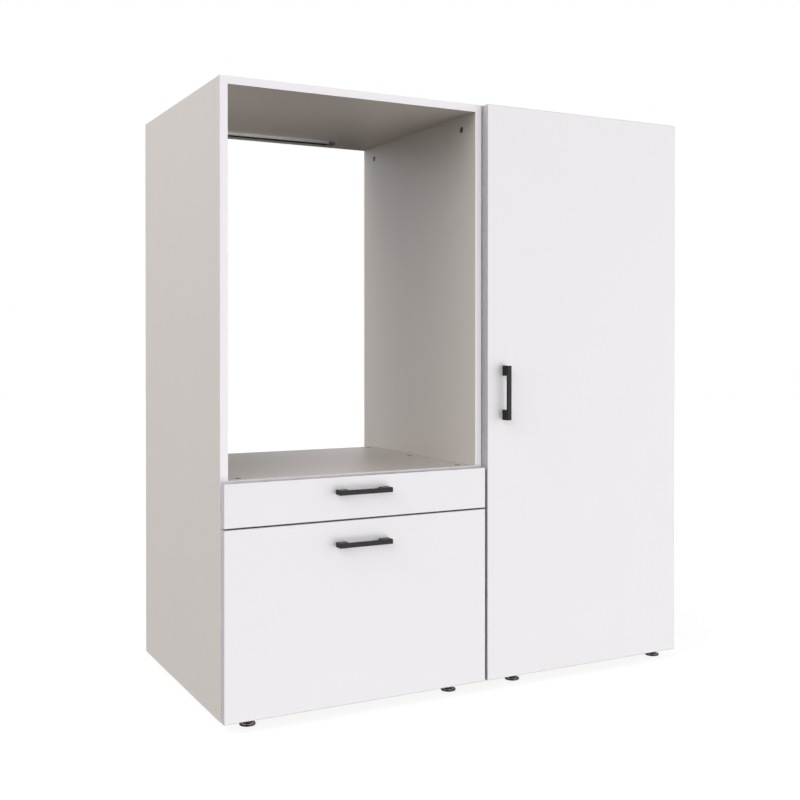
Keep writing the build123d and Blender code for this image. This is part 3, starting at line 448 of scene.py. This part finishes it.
def make_nailing_tree():
    """Sets nail heads, flat along y, on an outline at an even spacing."""
    tree, given = new_nodes_tree("nails_along_outline", (
        ("Spacing", "NodeSocketFloat"), ("Head Radius", "NodeSocketFloat"), ("Head Height", "NodeSocketFloat"),
        ("Finish", "NodeSocketMaterial")))
    path = add_node(tree, "GeometryNodeMeshToCurve", {"Mesh": given["Geometry"]})
    path = add_node(tree, "GeometryNodeResampleCurve", {
        "Curve": path.outputs[0], "Length": given["Spacing"]}, mode="LENGTH")
    head = add_node(tree, "GeometryNodeMeshUVSphere", {
        "Segments": 12, "Rings": 6, "Radius": given["Head Radius"]})
    flat = add_node(tree, MATH, {0: given["Head Height"], 1: given["Head Radius"]}, operation="DIVIDE")
    flat = add_node(tree, "ShaderNodeCombineXYZ", {"X": 1.0, "Y": flat.outputs[0], "Z": 1.0})
    head = add_node(tree, "GeometryNodeTransform", {
        "Geometry": head.outputs["Mesh"], "Scale": flat.outputs[0]})
    placed = add_node(tree, "GeometryNodeInstanceOnPoints", {
        "Points": path.outputs[0], "Instance": head.outputs[0]})
    return close_nodes_tree(tree, placed.outputs[0], given["Finish"])


SETTING_TREE = make_setting_tree()
NAILING_TREE = make_nailing_tree()


def grown_mesh(name, start, tree, values):
    """Runs a Geometry Nodes tree on a starting mesh and returns the plain mesh that it makes."""
    maker = bpy.data.objects.new(f"{name}_maker", start)
    bpy.context.scene.collection.objects.link(maker)
    modifier = maker.modifiers.new(tree.name, "NODES")
    modifier.node_group = tree
    for item in tree.interface.items_tree:
        if item.in_out == "INPUT" and item.name in values:
            modifier[item.identifier] = values[item.name]
    seen = bpy.context.evaluated_depsgraph_get()
    mesh = bpy.data.meshes.new_from_object(maker.evaluated_get(seen), depsgraph=seen)
    mesh.name = name
    bpy.data.objects.remove(maker)
    return mesh


def turned_form(name, rings, sides=24, hollow=False):
    """A closed form turned round z in mm. A ring is (radius, height), and lobes and their depth shape a recess.
    A hollow form is a collar, whose last ring meets its first."""
    form = bmesh.new()
    loops = []
    for radius, height, *recess in rings:
        lobes, depth = recess or (0, 0.0)
        loop = []
        for step in range(sides):
            angle = math.tau * step / sides
            reach = radius * (1 + depth * math.cos(lobes * angle)) * MM
            loop.append(form.verts.new((reach * math.cos(angle), reach * math.sin(angle), height * MM)))
        loops.append(loop)
    following = loops[1:] + loops[:1] if hollow else loops[1:]
    for lower, upper in zip(loops, following):
        for step in range(sides):
            after = (step + 1) % sides
            form.faces.new((lower[step], lower[after], upper[after], upper[step]))
    if not hollow:
        form.faces.new(list(reversed(loops[0])))
        form.faces.new(loops[-1])
    bmesh.ops.recalc_face_normals(form, faces=form.faces)
    mesh = bpy.data.meshes.new(name)
    form.to_mesh(mesh)
    return mesh


def set_forms(name, form_mesh, places, body, finish):
    """One piece of many equal forms. A place is a point, the way the form looks and the way its x points."""
    start = bpy.data.meshes.new(f"{name}_places")
    start.from_pydata([point for point, facing, side in places], [], [])
    turn = start.attributes.new("turn", "FLOAT_VECTOR", "POINT")
    for spot, (point, facing, side) in zip(turn.data, places):
        facing, side = Vector(facing), Vector(side)
        spot.vector = Matrix((side, facing.cross(side), facing)).transposed().to_euler()
    form = bpy.data.objects.new(f"{name}_form", form_mesh)
    bpy.context.scene.collection.objects.link(form)
    mesh = grown_mesh(name, start, SETTING_TREE, {"Form": form, "Size": 1.0, "Finish": finish})
    bpy.data.objects.remove(form)
    return new_piece(name, mesh, body)


# Places that the small pieces need, read from the boards
side_low, side_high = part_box("left_unit_side_left")
FRONT_Y, REAR_Y, SIDE_TOP = side_low.y, side_high.y, side_high.z
BASE_Z = side_low.z
LEFT_INNER = (side_high.x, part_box("left_unit_side_right")[0].x)
TALL_INNER = (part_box("tall_unit_side_left")[1].x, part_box("tall_unit_side_right")[0].x)
SHELF_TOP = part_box("machine_shelf")[1].z
RIGHT, LEFT, REARWARD = (1, 0, 0), (-1, 0, 0), (0, 1, 0)
UP, DOWN = (0, 0, 1), (0, 0, -1)

# Thickness of a board, and how far a cam sits from the end of its board and, under a top, from its long edges
BOARD, CAM_INSET, TOP_CAM_INSET = 18 * MM, 33 * MM, 67 * MM

# Where the other cams sit: in mm behind the front edge of the shelf and of the panels, and down the stretcher
SHELF_CAMS, PANEL_CAMS, STRETCHER_CAMS = (30, 281, 531), (85, 281, 531), (25, 75)


def cam_places():
    """The face of every cam: where it is, the way it looks and the way to the board that it pulls in."""
    places = []
    for inner in (LEFT_INNER, TALL_INNER):
        for x, out in ((inner[0], RIGHT), (inner[1], LEFT)):
            for y in (FRONT_Y + TOP_CAM_INSET, REAR_Y - TOP_CAM_INSET):
                places.append(((x, y, SIDE_TOP - CAM_INSET), out, UP))
    lying = (
        (LEFT_INNER, SHELF_TOP, UP, SHELF_CAMS), (LEFT_INNER, BASE_Z + BOARD, UP, PANEL_CAMS),
        (TALL_INNER, SHELF_TOP - BOARD, DOWN, PANEL_CAMS), (TALL_INNER, BASE_Z, DOWN, PANEL_CAMS),
    )
    for inner, z, out, row in lying:
        for x, towards in ((inner[0] + CAM_INSET, LEFT), (inner[1] - CAM_INSET, RIGHT)):
            for y in row:
                places.append(((x, FRONT_Y + y * MM, z), out, towards))
    stretcher_y, stretcher_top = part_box("shelf_stretcher")[1].y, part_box("shelf_stretcher")[1].z
    for x, towards in ((LEFT_INNER[0] + CAM_INSET, LEFT), (LEFT_INNER[1] - CAM_INSET, RIGHT)):
        for drop in STRETCHER_CAMS:
            places.append(((x, stretcher_y, stretcher_top - drop * MM), REARWARD, towards))
    return places


cams = cam_places()

# Each cam gets a near-black ring round its cross, painted shade for the gap round the cam, so that it shows as a
# dark ring with a grey middle
rim = turned_form("cam_shade_ring", (
    (4.8, -0.2), (4.8, 0.06), (4.95, 0.15), (6.95, 0.15), (7.15, 0.06), (7.15, -0.2)), hollow=True)
set_forms("cam_rims", rim, cams, "cabinet", CAM_RING_SHADE)

# A small raised arrow on the rim points at the bolt
ARROW_LIFT = 0.28 * MM
arrow_mesh = bpy.data.meshes.new("cam_arrow")
arrow_outline = [(6.7, 0.0), (5.1, 1.1), (5.1, -1.1)]
arrow_points = [(x * MM, y * MM, z * MM) for z in (-0.2, 0.0) for x, y in arrow_outline]
arrow_mesh.from_pydata(arrow_points, [], [(2, 1, 0), (3, 4, 5), (0, 1, 4, 3), (1, 2, 5, 4), (2, 0, 3, 5)])
arrow_places = [(tuple(Vector(point) + Vector(out) * ARROW_LIFT), out, side) for point, out, side in cams]
set_forms("cam_arrows", arrow_mesh, arrow_places, "cabinet", CAST_ZINC)

# Joining bolts: two-part connectors with low domed heads and a hexagon recess
BOLT_RADIUS = 7 * MM
bolt_low, bolt_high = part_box("joining_bolts")
bolt_head = turned_form("joining_bolt_head", (
    (7, 0), (7, 1.3), (6.6, 1.8), (5.6, 2.25), (4.2, 2.45), (3.0, 2.5),
    (2.6, 2.45, 6, 0.07), (2.5, 0.9, 6, 0.07), (0.4, 0.7)))
bolt_shaft = turned_form("joining_bolt_shaft", ((3.9, 0), (3.9, 19.8)))
bolt_spots = [(y, z) for y in (bolt_low.y + BOLT_RADIUS, bolt_high.y - BOLT_RADIUS)
              for z in (bolt_low.z + BOLT_RADIUS, bolt_high.z - BOLT_RADIUS)]
bolt_ends = ((LEFT_INNER[HIGH], LEFT, RIGHT), (TALL_INNER[LOW], RIGHT, LEFT))
head_places = [((x, y, z), out, UP) for y, z in bolt_spots for x, out, into in bolt_ends]
shaft_places = [((x, y, z), into, UP) for y, z in bolt_spots for x, out, into in bolt_ends]
joining_heads = set_forms("joining_bolt_heads", bolt_head, head_places, "cabinet", TURNED_STEEL)
set_forms("joining_bolt_sleeves", bolt_shaft, shaft_places, "cabinet", TURNED_STEEL)
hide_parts("joining_bolts")

# Hinge arms: the two adjusting screws of each, with a cross recess, in mm behind the front edge
ADJUSTERS, HALF_ARM = (21, 50), 8 * MM
adjuster = turned_form("hinge_adjuster", (
    (3.2, 0), (3.2, 0.7), (2.8, 1.1), (1.7, 1.2, 4, 0.3), (1.0, 0.5, 4, 0.3), (0.3, 0.4)), 32)
arm_low, arm_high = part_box("hinge_arms")
hinge_zs = (arm_low.z + HALF_ARM, (arm_low.z + arm_high.z) / 2, arm_high.z - HALF_ARM)
adjuster_places = [((arm_low.x, FRONT_Y + y * MM, z), LEFT, UP) for z in hinge_zs for y in ADJUSTERS]
set_forms("hinge_adjusting_screws", adjuster, adjuster_places, "cabinet", TURNED_STEEL)

# Bumpers on the door: soft domes
BUMPER_RADIUS = 5 * MM
bumper_low, bumper_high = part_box("door_bumpers")
dome = turned_form("bumper_dome", (
    (5, 0), (5, 0.4), (4.8, 0.85), (4.2, 1.3), (3.2, 1.62), (2.0, 1.82), (0.8, 1.9)), 32)
dome_places = [(((bumper_low.x + bumper_high.x) / 2, bumper_low.y, z), REARWARD, UP)
               for z in (bumper_low.z + BUMPER_RADIUS, bumper_high.z - BUMPER_RADIUS)]
domes = set_forms("bumper_domes", dome, dome_places, "door", CLEAR_BUMPER)
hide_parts("door_bumpers")

# Nails round the back panels, driven flush
NAIL_INSET, NAIL_SUNK = 8 * MM, 0.03 * MM
NAILING = {"Spacing": 95 * MM, "Head Radius": 2.6 * MM, "Head Height": 0.05 * MM, "Finish": TURNED_STEEL}
for node in ("left_unit_back", "tall_unit_back"):
    low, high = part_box(node)
    left, right, y = low.x + NAIL_INSET, high.x - NAIL_INSET, high.y - NAIL_SUNK
    bottom, top = low.z + NAIL_INSET, high.z - NAIL_INSET
    outline = [(left, y, bottom), (right, y, bottom), (right, y, top), (left, y, top)]
    start = bpy.data.meshes.new(f"{node}_nails_outline")
    start.from_pydata(outline, [(0, 1), (1, 2), (2, 3), (3, 0)], [])
    mesh = grown_mesh(f"{node}_nails", start, NAILING_TREE, NAILING)
    new_piece(f"{node}_nails", mesh, "cabinet")


# The camera of the photograph
camera = bpy.data.objects.new("camera", bpy.data.cameras.new("camera"))
bpy.context.scene.collection.objects.link(camera)
camera.location = (-1.4076, -2.59855, 0.8672)
camera.rotation_euler = (math.radians(90 - 0.358), 0.0, math.radians(-27.755))
camera.data.lens = 49.12
camera.data.sensor_width = 36.0
camera.data.shift_y = -0.066
camera.data.clip_end = 100.0
bpy.context.scene.camera = camera


# Radii of the round floor and of the wall round it, in metres, and the white that both glow with
FLOOR_RADIUS, WALL_RADIUS, GLOW_WHITE = 14.0, 13.5, (1, 1, 1, 1)


def studio_paper(name, colour, shade, glow):
    """Seamless paper with soft clouds of 40 mm. It glows, so that it shows as plain white with a faint shade
    under the cabinet."""
    finish, tree, shader = new_finish(name, colour, 0.9, Emission_Color=GLOW_WHITE, Emission_Strength=glow)
    place = add_node(tree, COORDINATES).outputs["Object"]
    fibre = add_node(tree, NOISE, {"Vector": place, "Scale": 1 / (40 * MM), "Detail": 2.0})
    colour = coats_of_colour(tree, colour, (fibre.outputs["Fac"], shade))
    tree.links.new(colour, shader.inputs["Base Color"])
    return finish


def set_up(name, form, finish):
    """Adds a floor or a wall that only the camera sees, so it neither shades the cabinet nor lights it."""
    mesh = bpy.data.meshes.new(name)
    form.to_mesh(mesh)
    mesh.materials.append(finish)
    surface = bpy.data.objects.new(name, mesh)
    bpy.context.scene.collection.objects.link(surface)
    surface.visible_diffuse = False
    surface.visible_glossy = False
    surface.visible_transmission = False
    surface.visible_shadow = False
    return surface


# A pale floor that runs up to a pale wall all round
floor_form = bmesh.new()
bmesh.ops.create_circle(floor_form, cap_ends=True, radius=FLOOR_RADIUS, segments=96)
floor = set_up("floor", floor_form, studio_paper("floor_paper", "#747474", "#787878", 0.87))

wall_form = bmesh.new()
bmesh.ops.create_uvsphere(wall_form, u_segments=64, v_segments=32, radius=WALL_RADIUS)
bmesh.ops.reverse_faces(wall_form, faces=wall_form.faces)
wall_paper = new_finish(
    "backdrop_paper", "#000000", 1.0, Emission_Color=GLOW_WHITE, Emission_Strength=1.0, IOR=1.0)[0]
wall = set_up("backdrop", wall_form, wall_paper)

# Studio light: soft lamps all round. Each fades away from its own bearing, and fades faster the narrower it is
LAMPS = (
    # direction to the lamp, how narrow it is, strength in red, green and blue
    ((0.50, -0.87, 0.00), 8.0, (0.89, 0.89, 0.90)),
    ((0.87, -0.50, 0.00), 8.0, (1.77, 1.77, 1.78)),
    ((1.00, 0.00, 0.00), 8.0, (0.77, 0.77, 0.77)),
    ((-0.50, 0.87, 0.00), 8.0, (0.73, 0.72, 0.76)),
    ((-0.87, -0.50, 0.00), 8.0, (0.23, 0.23, 0.23)),
    ((-1.00, 0.00, 0.00), 8.0, (0.87, 0.86, 0.84)),
    ((0.77, 0.00, 0.64), 8.0, (0.66, 0.66, 0.66)),
    ((-0.54, 0.54, 0.64), 8.0, (0.39, 0.39, 0.39)),
    ((-0.54, -0.54, 0.64), 8.0, (0.64, 0.63, 0.63)),
    ((-0.77, 0.00, 0.64), 8.0, (3.13, 3.11, 3.09)),
    ((0.58, -0.58, -0.57), 8.0, (0.78, 0.74, 0.73)),
    ((0.47, 0.81, 0.34), 30.0, (2.17, 2.12, 2.14)),
    ((-0.47, 0.81, 0.34), 30.0, (1.17, 1.23, 1.30)),
    ((-0.45, -0.78, 0.42), 30.0, (1.76, 1.77, 1.76)),
    ((0.24, -0.90, -0.37), 30.0, (3.42, 3.33, 3.31)),
)
world = bpy.data.worlds.new("studio")
bpy.context.scene.world = world
world.use_nodes = True
studio = world.node_tree
bearing = add_node(studio, COORDINATES).outputs["Generated"]
light = (0.0, 0.0, 0.0)
for direction, narrow, strength in LAMPS:
    towards = Vector(direction).normalized()
    facing = add_node(studio, VECTORS, {0: bearing, 1: towards}, operation="DOT_PRODUCT")
    facing = add_node(studio, MATH, {0: facing.outputs["Value"], 1: 0.0}, operation="MAXIMUM")
    fading = add_node(studio, MATH, {0: facing.outputs[0], 1: narrow}, operation="POWER")
    light = add_node(studio, VECTORS, {0: fading.outputs[0], 1: strength, 2: light},
                     operation="MULTIPLY_ADD").outputs[0]
studio.links.new(light, studio.nodes["Background"].inputs["Color"])

bpy.context.scene.view_settings.view_transform = "Standard"
